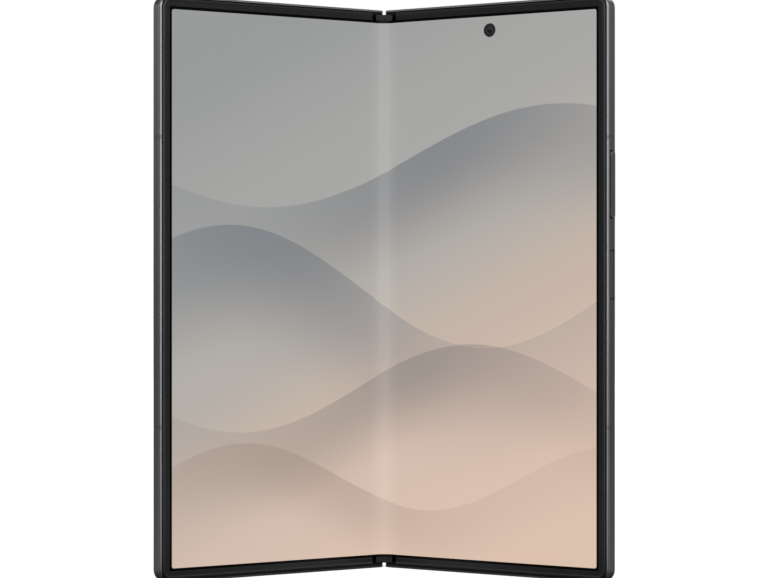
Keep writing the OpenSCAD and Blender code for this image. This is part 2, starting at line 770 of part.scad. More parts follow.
module volume_rocker() color("#56565a") on_right() {
    key(mid_z + rocker_z, rocker_len, rocker_w, rocker_h);
    rocker_pivot(pivot_r, rocker_w / 2 + 0.25);
}

// --- the hinge -----------------------------------------------------------------------

// Area within a distance of both fold axes, and between them as far back
module spine_area(r) {
    for (s = [-1, 1]) translate([s * fold_u, fold_v]) circle(r);
    translate([-fold_u, fold_v]) square([2 * fold_u, r]);
}

module behind(v) intersection() {
    children();
    translate([-10, v]) square([20, 10]);
}

module spine_cover() color("#4d4d51") on_spine() difference() {
    union() {
        translate([0, 0, cover_z]) linear_extrude(body_h - 2 * cover_z)
            behind(fold_v + cover_edge) difference() {
                spine_area(cover_r);
                spine_area(cover_in);
            }
        at_ends() translate([0, 0, cover_z]) linear_extrude(cover_wall)
            behind(works_v) spine_area(cover_r);
    }
    at_spine_screws() pin(0, 0, screw_r, 0, fold_v + cover_in + 0.3);
}

module at_spine_screws() at_modules()
    for (z = [stack_bottom - bearing_t - foot_len / 2, works_top + foot_len / 2])
        translate([0, 0, z]) children();

// One guide block per module: gear bearings, slider tracks and a foot at each end
module hinge_guide_blocks() color("#7d7d82") on_spine() at_modules() difference() {
    bottom = stack_bottom - bearing_t;
    union() {
        translate([0, 0, bottom - foot_len])
            linear_extrude(works_top + 2 * foot_len - bottom) behind(cover_in + fold_v - 0.3)
                translate([-post_w, 0]) square([2 * post_w, fold_v + cover_in]);
        for (z = [bottom, stack_bottom + 3.5, slider_z[0] - side_gap - bearing_t])
            translate([0, 0, z]) linear_extrude(bearing_t)
                behind(works_v) spine_area(cover_in - fit);
        translate([0, 0, slider_z[0] - side_gap - fit])
            linear_extrude(works_top - slider_z[0] + side_gap + fit)
                behind(works_v) spine_area(cover_in - fit);
        for (z = [bottom - foot_len, works_top]) translate([-post_w, gear_v, z])
            cube([2 * post_w, fold_v + cover_in - gear_v, foot_len]);
    }
    for (i = [0, 1]) translate([0, 0, slider_z[i] - side_gap])
        linear_extrude(slider_len + 2 * side_gap) mirror([1 - i, 0]) slider_track();
    for (x = gear_u) translate([x, gear_v, bottom - over])
        cylinder(r = shaft_r + bore_gap, h = slider_z[0] - bottom + over - side_gap - 0.4);
    for (z = [bottom - foot_len / 2, works_top + foot_len / 2])
        translate([0, 0, z]) pin(0, 0, screw_r, 0, body_t);
}

// Path of the right slider, from closed to flat, with its clearance
module slider_track() intersection() {
    difference() {
        translate([fold_u, fold_v]) circle(slider_r + slider_t + 2 * slider_gap);
        translate([fold_u, fold_v]) circle(slider_r - slider_gap);
    }
    translate([fold_u, fold_v]) polygon(concat([[0, 0]], arc([0, 0], 3 * cover_r, -90, slider_end + 6, 12)));
}

module gear_shafts() color("#c0c0c4") on_spine() at_modules() for (x = gear_u)
    translate([x, gear_v, stack_bottom - bearing_t])
        cylinder(r = shaft_r, h = slider_z[0] - stack_bottom + bearing_t - side_gap - 0.5);

// Stacks of spring washers that give the fold its friction
module friction_disc_springs() color("#d0d0d4") on_spine() at_modules()
    for (x = gear_u, i = [0:6]) translate([x, gear_v, stack_bottom + 0.1 + i * 0.48]) difference() {
        cylinder(r = 0.6, h = 0.3);
        translate([0, 0, -over]) cylinder(r = shaft_r + bore_gap, h = 2 * over);
    }

module spine_screws() color("#b8b8bc") on_spine() at_spine_screws() {
    pin(0, 0, screw_r - bore_gap, gear_v, fold_v + cover_in + 0.25);
    pin(0, 0, screw_head_r, gear_v - head_t, gear_v);
}

// Small bridge between the halves at each end of the fold
module hinge_end_caps() color("#2b2b2e") on_spine() at_ends() {
    block([-cap_w, cap_v, cover_z], [cap_w, cap_v + cap_t, cap_z]);
    block([-post_w, cap_v + cap_t, cover_z + cover_wall + fit],
        [post_w, fold_v + cover_in, cap_z - 0.2]);
}

// Section of a timing gear
module gear_outline(phase) {
    tip = gear_r * 1.15;
    root = gear_r * 0.76;
    polygon([for (i = [0:gear_teeth - 1], c = [[root, -0.3], [tip, -0.13], [tip, 0.13], [root, 0.3]])
        let (a = phase + gear_step * (i + c[1])) c[0] * [cos(a), sin(a)]]);
}

module timing_gear(x, phase) translate([x, gear_v, gear_bottom]) difference() {
    linear_extrude(gear_len) gear_outline(phase);
    translate([0, 0, -over]) cylinder(r = shaft_r + bore_gap, h = gear_len + 2 * over);
}

// A gear with the straight arm that turns with its half
module gear_arms(side, phase) on_spine() at_modules() {
    timing_gear(side * gear_u[3], phase);
    translate([side * gear_u[3], gear_v, gear_bottom]) rotate([0, 0, -side * rest_tilt])
        block([side > 0 ? gear_r * 0.6 : -arm_len, -arm_t / 2, 0],
            [side > 0 ? arm_len : -gear_r * 0.6, arm_t / 2, gear_len]);
}

module left_gear_arms() color("#8f8f94") gear_arms(-1, 0);

module right_gear_arms() color("#8f8f94") gear_arms(1, gear_step / 2);

module left_idler_gears() color("#a3a3a8") on_spine() at_modules()
    timing_gear(gear_u[1], gear_step / 2);

module right_idler_gears() color("#a3a3a8") on_spine() at_modules() timing_gear(gear_u[2], 0);

// Side of the bent strip at depth v. Each point turns by its share of the tilt, so that
// the strip is flat when the phone is, and its share grows smoothly with x.
bend_x = fold_u + (bend_w - fold_u) * cos(rest_tilt)
    + (screen_v + screen_t / 2 - fold_v) * sin(rest_tilt);
bend_steps = 14;
strip_z = cap_z + 2 * fit;

function bent(t, v) = let (
    turn = rest_tilt * t * t * (3 - 2 * t),
    flat = (t * bend_x - fold_u - (v - fold_v) * sin(turn)) / cos(turn)
) [t * bend_x, fold_v - flat * sin(turn) + (v - fold_v) * cos(turn)];

function strip_end(v) = let (u = bend_w + bend_land - fold_u) [
    fold_u + u * cos(rest_tilt) + (v - fold_v) * sin(rest_tilt),
    fold_v - u * sin(rest_tilt) + (v - fold_v) * cos(rest_tilt)
];

function strip_side(v) = concat([for (i = [0:bend_steps]) bent(i / bend_steps, v)], [strip_end(v)]);

function reversed(list) = [for (i = [len(list) - 1:-1:0]) list[i]];

module display_fold_strip() color("#101216") on_spine() {
    right = concat(strip_side(screen_v), reversed(strip_side(screen_v + screen_t)));
    translate([0, 0, strip_z]) linear_extrude(body_h - 2 * strip_z)
        polygon(concat(right, [for (p = reversed(right)) if (p[0] > 0) [-p[0], p[1]]]));
}

spine_cover();
hinge_guide_blocks();
gear_shafts();
friction_disc_springs();
spine_screws();
hinge_end_caps();
display_fold_strip();
left_frame();
left_antenna_breaks();
left_bezel();
left_display();
left_support_plate();
left_sliders();
left_hinge_screws();
cover_glass();
cover_display_panel();
cover_camera();
left_battery();
left_board();
left_board_chips();
top_speaker();
vibration_motor();
left_magnets();
sim_reader();
sim_tray();
right_frame();
right_antenna_breaks();
right_bezel();
right_display();
right_support_plate();
right_sliders();
right_hinge_screws();
back_glass();
camera_plate();
camera_rings();
camera_lenses();
camera_modules();
flash_led();
inner_camera();
right_battery();
main_board();
shield_cans();
usb_port();
charging_board();
bottom_speaker();
key_flex();
wireless_coil();
right_magnets();
power_key();
volume_rocker();
left_gear_arms();
right_gear_arms();
left_idler_gears();
right_idler_gears();
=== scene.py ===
# %% [markdown]
# # A folding phone, half open
#
# The solids of this phone are already built and come in as a fixed frame: two metal
# halves, a hinge between them, glass, keys, cameras and everything inside. This lesson
# dresses them. It softens the edges that the eye catches on, bends the display at the
# fold, paints each finish from what it really is, adds some painted highlights and
# painted shade, and lights the result in a plain white studio.

# %% Load the frame
import json
import math

import bmesh
import bpy
from mathutils import Matrix, Vector


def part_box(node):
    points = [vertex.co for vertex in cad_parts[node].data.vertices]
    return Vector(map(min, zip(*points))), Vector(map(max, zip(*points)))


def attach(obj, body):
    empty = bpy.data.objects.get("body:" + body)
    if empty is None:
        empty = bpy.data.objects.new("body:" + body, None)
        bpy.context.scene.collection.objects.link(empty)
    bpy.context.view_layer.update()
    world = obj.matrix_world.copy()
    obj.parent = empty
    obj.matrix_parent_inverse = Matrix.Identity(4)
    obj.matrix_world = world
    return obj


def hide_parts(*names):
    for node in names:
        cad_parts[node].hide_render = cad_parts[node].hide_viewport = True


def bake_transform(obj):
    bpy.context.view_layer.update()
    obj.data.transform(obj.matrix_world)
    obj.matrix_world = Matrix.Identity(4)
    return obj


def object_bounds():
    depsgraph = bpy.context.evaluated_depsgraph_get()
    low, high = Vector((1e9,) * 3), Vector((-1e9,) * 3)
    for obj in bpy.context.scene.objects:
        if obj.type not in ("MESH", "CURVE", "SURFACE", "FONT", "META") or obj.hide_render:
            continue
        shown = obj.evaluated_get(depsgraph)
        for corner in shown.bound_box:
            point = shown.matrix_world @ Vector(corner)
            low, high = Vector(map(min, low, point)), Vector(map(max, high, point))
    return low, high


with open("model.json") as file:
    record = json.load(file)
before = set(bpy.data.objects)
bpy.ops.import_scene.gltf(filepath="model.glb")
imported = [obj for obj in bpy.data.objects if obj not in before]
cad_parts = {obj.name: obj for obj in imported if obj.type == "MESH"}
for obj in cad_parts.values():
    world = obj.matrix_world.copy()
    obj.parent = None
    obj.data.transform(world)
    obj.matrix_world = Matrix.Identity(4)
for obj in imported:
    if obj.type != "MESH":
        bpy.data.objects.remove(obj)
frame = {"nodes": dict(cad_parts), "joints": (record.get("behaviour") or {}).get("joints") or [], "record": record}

cad_low, cad_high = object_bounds()
nodes = frame["nodes"]
joints = {joint["name"]: joint for joint in frame["joints"]}
print("nodes loaded:", len(nodes), "size in metres:", [round(v, 4) for v in cad_high - cad_low])

# %% [markdown]
# ## Where things are
#
# The phone stands as a V. Each half is easiest to think of lying flat, so places on a
# half are given as u, the distance from the fold, v, the depth behind the front of the
# frame, and z, the height. The right fold joint says where its half turns and how far it
# is from flat, and the left half mirrors it, so the step from flat places to real ones is
# worked out from that one joint.

# %% Places on a half
MM = 0.001  # sizes are in millimetres where nothing else is said
BODY_T = 4.2
FOLD_V = 1.1  # depth of the axis that a half turns on
HALF_W = 71.6  # from the fold to the outside of the side wall

fold_u = joints["right_fold"]["pos_m"][0] / MM
fold_y = joints["right_fold"]["pos_m"][1] / MM - FOLD_V
tilt = math.radians(joints["right_fold"]["range_deg"][1])
body_h = (cad_high.z - cad_low.z) / MM


def on_half(side, u, v, z):
    """A place on the right half (side 1) or the left half (side -1), in metres."""
    x = fold_u + (u - fold_u) * math.cos(tilt) + (v - FOLD_V) * math.sin(tilt)
    y = FOLD_V - (u - fold_u) * math.sin(tilt) + (v - FOLD_V) * math.cos(tilt)
    return Vector((side * x, y + fold_y, z)) * MM


def facing(side, u, v, z, turn):
    """A frame at that place whose own Z points turn degrees round from the back of the half."""
    azimuth = math.radians(turn) - side * tilt
    return (Matrix.Translation(on_half(side, u, v, z)) @ Matrix.Rotation(azimuth, 4, "Z")
            @ Matrix.Rotation(math.radians(-90), 4, "X"))


TO_BACK, TO_FRONT = 0, 180
print("each half stands", round(math.degrees(tilt), 1), "degrees from flat")

# %% [markdown]
# ## The camera
#
# A product shot is taken from far away with a long lens, so that the near edges of the V
# grow only a little. The camera is level, which keeps the verticals upright, and looks
# straight at the fold from the middle of the phone's height.

# %% Camera
PICTURE_W, PICTURE_H = 770, 578
FOCAL_PX = 2393.6
CAMERA_AWAY = 680.8
FOLD_PX, MIDDLE_PX = 384.2, 288.75

camera_data = bpy.data.cameras.new("camera")
camera_data.sensor_width = 36
camera_data.lens = FOCAL_PX / PICTURE_W * camera_data.sensor_width
camera_data.shift_x = (PICTURE_W / 2 - FOLD_PX) / PICTURE_W
camera_data.shift_y = (MIDDLE_PX - PICTURE_H / 2) / PICTURE_W
camera_data.clip_start, camera_data.clip_end = 0.01, 50
camera = bpy.data.objects.new("camera", camera_data)
camera.location = (0, (fold_y - CAMERA_AWAY) * MM, body_h / 2 * MM)
camera.rotation_euler = (math.radians(90), 0, 0)
bpy.context.scene.collection.objects.link(camera)
bpy.context.scene.camera = camera
print("lens in mm:", round(camera_data.lens, 1))

# %% [markdown]
# ## Helpers for materials
#
# Colours are written the way a paint chart or a picture editor gives them, as sRGB hex
# values, and turned to the linear values that light adds up in. Every node that a
# material gets is added by one function, which sets the node's choices, joins or fills
# its sockets and hands back its result, so a material reads from the pattern to the
# shader.

# %% Material helpers
def colour(code, lighter=1.0):
    """Linear red, green, blue and alpha of an sRGB hex value, made that much lighter."""
    parts = [int(code[i:i + 2], 16) / 255 for i in (1, 3, 5)]
    linear = [p / 12.92 if p <= 0.04045 else ((p + 0.055) / 1.055) ** 2.4 for p in parts]
    return (*[lighter * c for c in linear], 1)


def fill(node, sockets):
    """Fills a node's sockets: each value is a constant or the result of another node."""
    for name, value in sockets.items():
        if isinstance(value, bpy.types.NodeSocket):
            node.id_data.links.new(value, node.inputs[name])
        else:
            node.inputs[name].default_value = value


def add(tree, kind, sockets=None, out=0, **choices):
    """The result of a new node of that kind, whose choices are set and sockets filled."""
    made = tree.nodes.new("ShaderNode" + kind)
    for name, value in choices.items():
        setattr(made, name, value)
    fill(made, sockets or {})
    return made.outputs[out] if made.outputs else None


def material(name, **settings):
    """An empty material with a Principled shader, whose constant sockets are set here."""
    made = bpy.data.materials.new(name)
    made.use_nodes = True
    shader = made.node_tree.nodes["Principled BSDF"]
    fill(shader, {socket.replace("_", " "): value for socket, value in settings.items()})
    return made, made.node_tree, shader


def grain(tree, size_mm, detail=2.0):
    """Even grains about size_mm across, as a height between 0 and 1."""
    return add(tree, "TexNoise", {"Vector": add(tree, "TexCoord", out="Object"),
                                  "Scale": 1 / (size_mm * MM), "Detail": detail}, "Fac")


def texture(tree, shader, height, depth_mm, base, cloud, spread):
    """Gives a finish its relief of depth_mm, and a colour that clouds by that spread."""
    fill(shader, {
        "Normal": add(tree, "Bump", {"Height": height, "Distance": depth_mm * MM}, "Normal"),
        "Base Color": add(tree, "Mix", {"Factor": cloud, "A": colour(base, 1 - spread),
                                        "B": colour(base, 1 + spread)}, "Result", data_type="RGBA")})


# %% [markdown]
# ## Anodised aluminium
#
# The frame is milled from an aluminium block, blasted with fine glass beads and then
# anodised: a dye is locked into a hard clear oxide. The blasting breaks up the
# reflections into a soft sheen, and the dye makes the metal dark. The grit is a few
# hundredths of a millimetre, too fine to draw, so the grain here is as coarse as needed
# to still break the light a little in a close view.

# %% Graphite frame
DYE_CLOUD_MM, DYE_SPREAD = 14, 0.07
GRIT_SMOOTHER, GRIT_ROUGHER = 0.04, 0.05


def anodised(name, base, rough, grain_mm=0.12, depth_mm=0.002):
    """Bead-blasted and dyed aluminium: one dye colour that clouds slightly."""
    made, tree, shader = material(name, Metallic=1.0)
    grit = grain(tree, grain_mm)
    texture(tree, shader, grit, depth_mm, base, grain(tree, DYE_CLOUD_MM, 1.0), DYE_SPREAD)
    fill(shader, {"Roughness": add(tree, "MapRange", {"Value": grit, "To Min": rough - GRIT_SMOOTHER,
                                                      "To Max": rough + GRIT_ROUGHER})})
    return made


graphite = anodised("anodised graphite aluminium", "#464649", 0.3)
# A lighter copy of the graphite: a painted highlight for the rounded edges.
edge_highlight_metal = anodised("graphite aluminium lightened for painted highlight", "#97979c", 0.24, 0.3, 0.0005)
# Black aluminium as painted shade, for inner walls that are dark only because they lie in shadow.
painted_shade_black = anodised("black aluminium for painted shade", "#161618", 0.5)
graphite_dark = anodised("anodised dark graphite aluminium", "#55555a", 0.34)
ring_metal = anodised("turned anodised aluminium", "#a0a0a6", 0.22)

# %% [markdown]
# ## Black rim and plastics
#
# The rim round the inner screen is a soft elastomer, satin and almost black, so the two
# halves can close on it without a scratch. The antenna breaks are hard plastic injected
# into gaps of the frame, milled flush with it and lacquered to match the metal. The dark
# body of a polymer scatters little, so what the eye sees is its wide, weak reflection.
# The plastics, films and lacquers inside are made the same way.

# %% Rim and plastic
PIGMENT_SPREAD = 0.15


def moulded(name, base, rough, grain_mm, depth_mm, **settings):
    """Moulded polymer with a fine spark-eroded texture."""
    made, tree, shader = material(name, Roughness=rough, **settings)
    sparks = grain(tree, grain_mm)
    texture(tree, shader, sparks, depth_mm, base, sparks, PIGMENT_SPREAD)
    return made


soft_rim = moulded("satin black elastomer", "#121214", 0.3, 0.15, 0.002, Specular_IOR_Level=0.6)
antenna = moulded("lacquered antenna plastic", "#3c3c40", 0.34, 0.2, 0.002, Metallic=0.9)
# A lighter copy of the antenna plastic: a painted highlight for its rounded edges.
antenna_edge_highlight = moulded("antenna plastic lightened for painted highlight", "#7c7c82", 0.26, 0.3, 0.0005, Metallic=0.9)
black_abs = moulded("black moulded ABS", "#151517", 0.5, 0.2, 0.004)
black_nylon = moulded("black filled nylon", "#0d0d0f", 0.5, 0.25, 0.006, Specular_IOR_Level=0.35)
speaker_box = moulded("glass filled nylon", "#3a3a3d", 0.55, 0.25, 0.01)
battery_wrap = moulded("laminated pouch film", "#2f3236", 0.35, 0.8, 0.02)
chip_epoxy = moulded("moulded chip epoxy", "#2a2a2d", 0.6, 0.1, 0.004)
solder_mask = moulded("green solder mask", "#1f5a3c", 0.4, 0.4, 0.006)
polyimide = moulded("amber polyimide film", "#b5792a", 0.35, 0.5, 0.004)
screen_back = moulded("black polyimide film", "#101012", 0.45, 0.5, 0.004)

# %% [markdown]
# ## Metals inside
#
# The hinge works are ground and plated steel, the screws bright nickel and the shield
# cans thin tinned sheet. They hide inside the closed phone, but each still gets the
# brushed or bright look it would have on a bench. Brushed metal is a noise stretched a
# hundredfold along one direction.

# %% Steel and copper
LINE_STRETCH = 100
LINE_SPREAD = 0.05
LINE_SMOOTHER, LINE_ROUGHER = 0.8, 1.25


def brushed(name, base, rough, line_mm=0.08, depth_mm=0.002):
    """Ground metal whose scratches run up the phone."""
    made, tree, shader = material(name, Metallic=1.0)
    stretched = add(tree, "Mapping", {"Vector": add(tree, "TexCoord", out="Object"),
                                      "Scale": (1, 1, 1 / LINE_STRETCH)})
    lines = add(tree, "TexNoise", {"Vector": stretched, "Scale": 1 / (line_mm * MM), "Detail": 3.0},
                "Fac")
    texture(tree, shader, lines, depth_mm, base, lines, LINE_SPREAD)
    fill(shader, {"Roughness": add(tree, "MapRange", {"Value": lines, "To Min": rough * LINE_SMOOTHER,
                                                      "To Max": rough * LINE_ROUGHER})})
    return made


hinge_steel = brushed("ground plated steel", "#8f8f94", 0.32)
bright_nickel = brushed("bright nickel plate", "#c4c4c8", 0.18)
tinned_sheet = brushed("tinned steel sheet", "#c2c2c6", 0.38)
rolled_steel = brushed("rolled stainless sheet", "#8b8b8e", 0.28)
copper_wire = brushed("enamelled copper wire", "#b87348", 0.3)
gold = brushed("gold plated contact", "#d9b25a", 0.25, 0.05, 0.001)

# %% [markdown]
# ## Glass
#
# The cover glass is polished and lies over a display that is off, so it reads as one
# deep black mirror. The back glass is etched: its surface is frosted to a silky matt and
# a dark layer behind it gives the colour. Clear dielectric gloss comes from the index
# of refraction of glass, 1.5, and the roughness tells the polished from the etched.

# %% Cover, back and lens glass
def layered_glass(name, base, rough, relief_mm, depth_mm, cloud_mm, spread):
    """Glass over a dark layer, with the faint unevenness of a real sheet."""
    made, tree, shader = material(name, Roughness=rough, IOR=1.5)
    texture(tree, shader, grain(tree, relief_mm), depth_mm, base, grain(tree, cloud_mm, 1.0), spread)
    return made


cover_black = layered_glass("polished cover glass", "#0a0a0c", 0.04, 30, 0.001, 30, 0.1)
lens_black = layered_glass("coated lens glass", "#07070a", 0.05, 8, 0.001, 8, 0.1)
back_matt = layered_glass("etched back glass", "#45464b", 0.42, 0.12, 0.003, 40, 0.08)

# %% [markdown]
# The front element of a lens carries a thin anti-reflective coating that throws back a
# little violet or green where it is seen at a slant. Here that reflection is a painted
# sheen over black glass, without any picture: the base colour turns from violet, seen
# straight on, to green at a slant. The flash window is clear acrylic over a phosphor
# that looks pale yellow while it is off.

# %% Coated element and flash
def coated_element():
    """Domed front element whose coating shows as a painted violet to green sheen."""
    made, tree, shader = material("coated lens element", Roughness=0.03, IOR=1.6,
                                  Coat_Weight=0.6, Coat_Roughness=0.03)
    painted_sheen = add(tree, "ValToRGB", {"Fac": add(tree, "LayerWeight", {"Blend": 0.35}, "Facing")}, "Color")
    for stop, code in zip(painted_sheen.node.color_ramp.elements, ("#0d0a1c", "#1f3a3c")):
        stop.color = colour(code)
    fill(shader, {"Base Color": painted_sheen})
    return made


def clear_flash():
    """Clear acrylic over a grainy yellow phosphor."""
    made, tree, shader = material("clear flash lens", Roughness=0.15, IOR=1.49, Coat_Weight=0.5)
    phosphor = grain(tree, 1.1)
    texture(tree, shader, phosphor, 0.002, "#efe7ca", phosphor, 0.06)
    return made


lens_element = coated_element()
flash_clear = clear_flash()

# %% [markdown]
# ## The lit screen
#
# A screen makes its own light, so its picture goes into the emission of the shader and
# the base stays black. The picture is drawn in flat millimetres across the whole open
# display: s runs from the fold to the right, z up from the foot. A soft grey sky turns
# to peach below, and lines of hills lie in front of each other. Each hill is a sine
# curve: just below its crest it is dark slate and lets the colours through more and
# more below.

# %% Hills for the screen
SCREEN_HALF_W = 67.85
SCREEN_MARGIN = 3.8
SCREEN_CORNER = 0.6
SCREEN_H = body_h - 2 * SCREEN_MARGIN

SKY_SLOPE = 0.5
SKY_SPAN = (-34, 192)
SKY = [(0.15, "#dcc1af"), (0.28, "#d5beaf"), (0.38, "#c6b5a8"),
       (0.52, "#b4afa9"), (0.68, "#a7a7a5"), (0.92, "#999b9b")]
HILLS = [  # heights and lengths in mm; the shade is strongest round s = deepest
    dict(crest=116, swing=14, wave=190, start=-8, fade=40, strength=0.62, deepest=20, shade="#6a6f78"),
    dict(crest=80, swing=17, wave=165, start=-74, fade=46, strength=0.60, deepest=-40, shade="#70757d"),
    dict(crest=52, swing=12, wave=150, start=8, fade=32, strength=0.50, deepest=8, shade="#857e7b"),
    dict(crest=27, swing=10, wave=120, start=-44, fade=24, strength=0.40, deepest=-30, shade="#9a877c"),
]
SHADOW_REACH = 75
SHADOW_LEFT = 0.35  # share of the shadow that is left at its reach
CREST_EDGE = 0.35


def evening_sky(tree, place):
    """Grey above and to the left, peach below and to the right."""
    rise = add(tree, "VectorMath", {0: place, 1: (-SKY_SLOPE, 0, 1)}, "Value", operation="DOT_PRODUCT")
    share = add(tree, "MapRange", {"Value": rise, "From Min": SKY_SPAN[0], "From Max": SKY_SPAN[1]})
    sky = add(tree, "ValToRGB", {"Fac": share}, "Color")
    ramp = sky.node.color_ramp
    ramp.interpolation = "EASE"
    while len(ramp.elements) < len(SKY):
        ramp.elements.new(0.5)
    for stop, (at, code) in zip(ramp.elements, SKY):
        stop.position, stop.color = at, colour(code)
    return sky


def hill_shadow(tree, s, z, hill):
    """How much of a hill's shade shows: most just below the crest and near its deepest place."""
    turn = math.tau / hill["wave"]
    angle = add(tree, "Math", {0: s, 1: turn, 2: turn * hill["start"]}, operation="MULTIPLY_ADD")
    wave = add(tree, "Math", {0: angle}, operation="SINE")
    crest = add(tree, "Math", {0: wave, 1: hill["swing"], 2: hill["crest"]}, operation="MULTIPLY_ADD")
    below = add(tree, "Math", {0: crest, 1: z}, operation="SUBTRACT")
    aside = add(tree, "Math", {0: s, 1: hill["deepest"]}, operation="SUBTRACT")
    away = add(tree, "Math", {0: aside}, operation="ABSOLUTE")
    strength = add(tree, "MapRange", {"Value": away, "From Max": SHADOW_REACH,
                                      "To Min": hill["strength"],
                                      "To Max": SHADOW_LEFT * hill["strength"]},
                   interpolation_type="SMOOTHSTEP")
    fade = add(tree, "MapRange", {"Value": below, "From Max": hill["fade"], "To Min": strength,
                                  "To Max": 0.0}, interpolation_type="SMOOTHERSTEP")
    return add(tree, "MapRange", {"Value": below, "From Max": CREST_EDGE, "To Min": 0.0,
                                  "To Max": fade}, interpolation_type="SMOOTHSTEP")


def screen_picture(tree, place):
    """Colour of the picture at a flat place, whose x is s and whose z is the height."""
    s = add(tree, "SeparateXYZ", {"Vector": place}, "X")
    z = s.node.outputs["Z"]
    picture = evening_sky(tree, place)
    for hill in HILLS:
        picture = add(tree, "Mix", {"Factor": hill_shadow(tree, s, z, hill), "A": picture,
                                    "B": colour(hill["shade"])}, "Result", data_type="RGBA")
    return picture


# %% [markdown]
# Round the lit picture the panel has a narrow black border with small round corners. A
# distance worked out like that of a rounded box cuts the picture off there. Along the
# fold, where the pixels face forward, the picture is a touch lighter: a painted highlight,
# the same from every side. The gloss on top is a thin protective film with a coating
# against glare: clear, but softer than bare glass.

# %% Screen material
FILM_ROUGH = 0.14
FILM_SHINE = 0.14  # about a quarter of bare glass, which has 0.5
# Painted highlight: how much lighter the picture is made along the fold, and over what width.
FOLD_PAINTED_HIGHLIGHT = 0.042
FOLD_PAINTED_HIGHLIGHT_W = 5.6
MIDDLE = (0, 0, body_h / 2)
ANY_DEPTH = 1000  # deeper than any place, so that depth never counts as outside
CORNER_PLACE = (SCREEN_HALF_W - SCREEN_CORNER, ANY_DEPTH, SCREEN_H / 2 - SCREEN_CORNER)


def lit_screen(name, flat_place):
    """Screen whose flat_place(tree) gives the place on the open display, in millimetres."""
    made, tree, shader = material(name, Roughness=FILM_ROUGH, IOR=1.5, Base_Color=colour("#050506"),
                                  Specular_IOR_Level=FILM_SHINE, Emission_Strength=1.0)
    place = flat_place(tree)
    from_middle = add(tree, "VectorMath", {0: place, 1: MIDDLE}, operation="SUBTRACT")
    mirrored = add(tree, "VectorMath", {0: from_middle}, operation="ABSOLUTE")
    past = add(tree, "VectorMath", {0: mirrored, 1: CORNER_PLACE}, operation="SUBTRACT")
    outside = add(tree, "VectorMath", {0: past, 1: (0, 0, 0)}, operation="MAXIMUM")
    distance = add(tree, "VectorMath", {0: outside}, "Value", operation="LENGTH")
    inside = add(tree, "Math", {0: distance, 1: SCREEN_CORNER}, operation="LESS_THAN")
    from_fold = add(tree, "SeparateXYZ", {"Vector": mirrored}, "X")
    # Painted highlight: a band along the fold where the picture is made lighter.
    band = add(tree, "MapRange", {"Value": from_fold, "From Max": FOLD_PAINTED_HIGHLIGHT_W, "To Min": 1.0,
                                  "To Max": 0.0}, interpolation_type="SMOOTHSTEP")
    bright = add(tree, "Mix", {"Factor": band, "A": screen_picture(tree, place),
                               "B": (FOLD_PAINTED_HIGHLIGHT, FOLD_PAINTED_HIGHLIGHT, FOLD_PAINTED_HIGHLIGHT, 1)}, "Result",
                 data_type="RGBA", blend_type="ADD")
    fill(shader, {"Emission Color": add(tree, "Mix", {"Factor": inside, "A": (0, 0, 0, 1), "B": bright},
                                        "Result", data_type="RGBA")})
    return made


def place_on_half(side):
    """Turns a panel's own coordinates back to the open display, by one Mapping node."""
    back = Matrix.Rotation(side * tilt, 3, "Z")
    axis = Vector((side * fold_u, fold_y + FOLD_V, 0))
    shift = Vector((side * fold_u, 0, 0)) - back @ axis

    def flat_place(tree):
        return add(tree, "Mapping", {"Vector": add(tree, "TexCoord", out="Object"), "Location": shift,
                                     "Rotation": (0, 0, side * tilt), "Scale": (1 / MM,) * 3})
    return flat_place


def place_on_strip(tree):
    """The bent strip carries its flat places as an attribute."""
    return add(tree, "Attribute", out="Vector", attribute_name="flat_place")


screen_left = lit_screen("lit screen left", place_on_half(-1))
screen_right = lit_screen("lit screen right", place_on_half(1))
screen_bend = lit_screen("lit screen at the fold", place_on_strip)

# %% [markdown]
# ## Finishing a piece
#
# Every new piece ends the same way: its mesh is put in place, its faces shade smoothly
# except over sharp edges, and it rides on the body that carries it.

# %% Finish a piece
SHARP = math.radians(32)


def finish_piece(bm, name, finish, body, where=None):
    """Turns a bmesh into a piece at the origin, with its place in its mesh."""
    bmesh.ops.transform(bm, matrix=where or Matrix.Identity(4), verts=bm.verts)
    for face in bm.faces:
        face.smooth = True
    for edge in bm.edges:
        edge.smooth = len(edge.link_faces) == 2 and edge.calc_face_angle() < SHARP
    mesh = bpy.data.meshes.new(name)
    bm.to_mesh(mesh)
    bm.free()
    mesh.materials.append(finish)
    piece = bpy.data.objects.new(name, mesh)
    bpy.context.scene.collection.objects.link(piece)
    if body:
        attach(piece, body)
    return piece


def body_of_node(node):
    """The body that a CAD node belongs to."""
    bodies = frame["record"]["behaviour"]["bodies"]
    return next(body for body, members in bodies.items() if node in members)


# %% [markdown]
# ## Soft edges
#
# No real edge is perfectly sharp. Glass is ground, keys are tumbled and rings are
# turned with a small chamfer, and that thin line of light is what makes them look real.
# The solid's triangles are copied and merged, flat ones are joined to whole faces, and
# every sharp edge gets a small bevel.

# %% Soften the edges of a solid
FLAT = math.radians(0.5)
WELD = 0.002 * MM  # points nearer than this are one


def softened(node, radius_mm, finish, segments=2, least_angle=40):
    """A copy of a CAD node with rounded edges, which stands for it."""
    bm = bmesh.new()
    bm.from_mesh(nodes[node].data)
    bmesh.ops.remove_doubles(bm, verts=bm.verts, dist=WELD)
    bmesh.ops.dissolve_limit(bm, angle_limit=FLAT, verts=bm.verts, edges=bm.edges)
    edges = [e for e in bm.edges
             if len(e.link_faces) == 2 and e.calc_face_angle() > math.radians(least_angle)]
    bmesh.ops.bevel(bm, geom=edges, offset=radius_mm * MM, offset_type="OFFSET", affect="EDGES",
                    segments=segments, profile=0.5, material=-1, clamp_overlap=True)
    piece = finish_piece(bm, node + "_soft", finish, body_of_node(node))
    even = piece.modifiers.new("even shading", "WEIGHTED_NORMAL")
    even.keep_sharp = True
    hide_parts(node)
    return piece


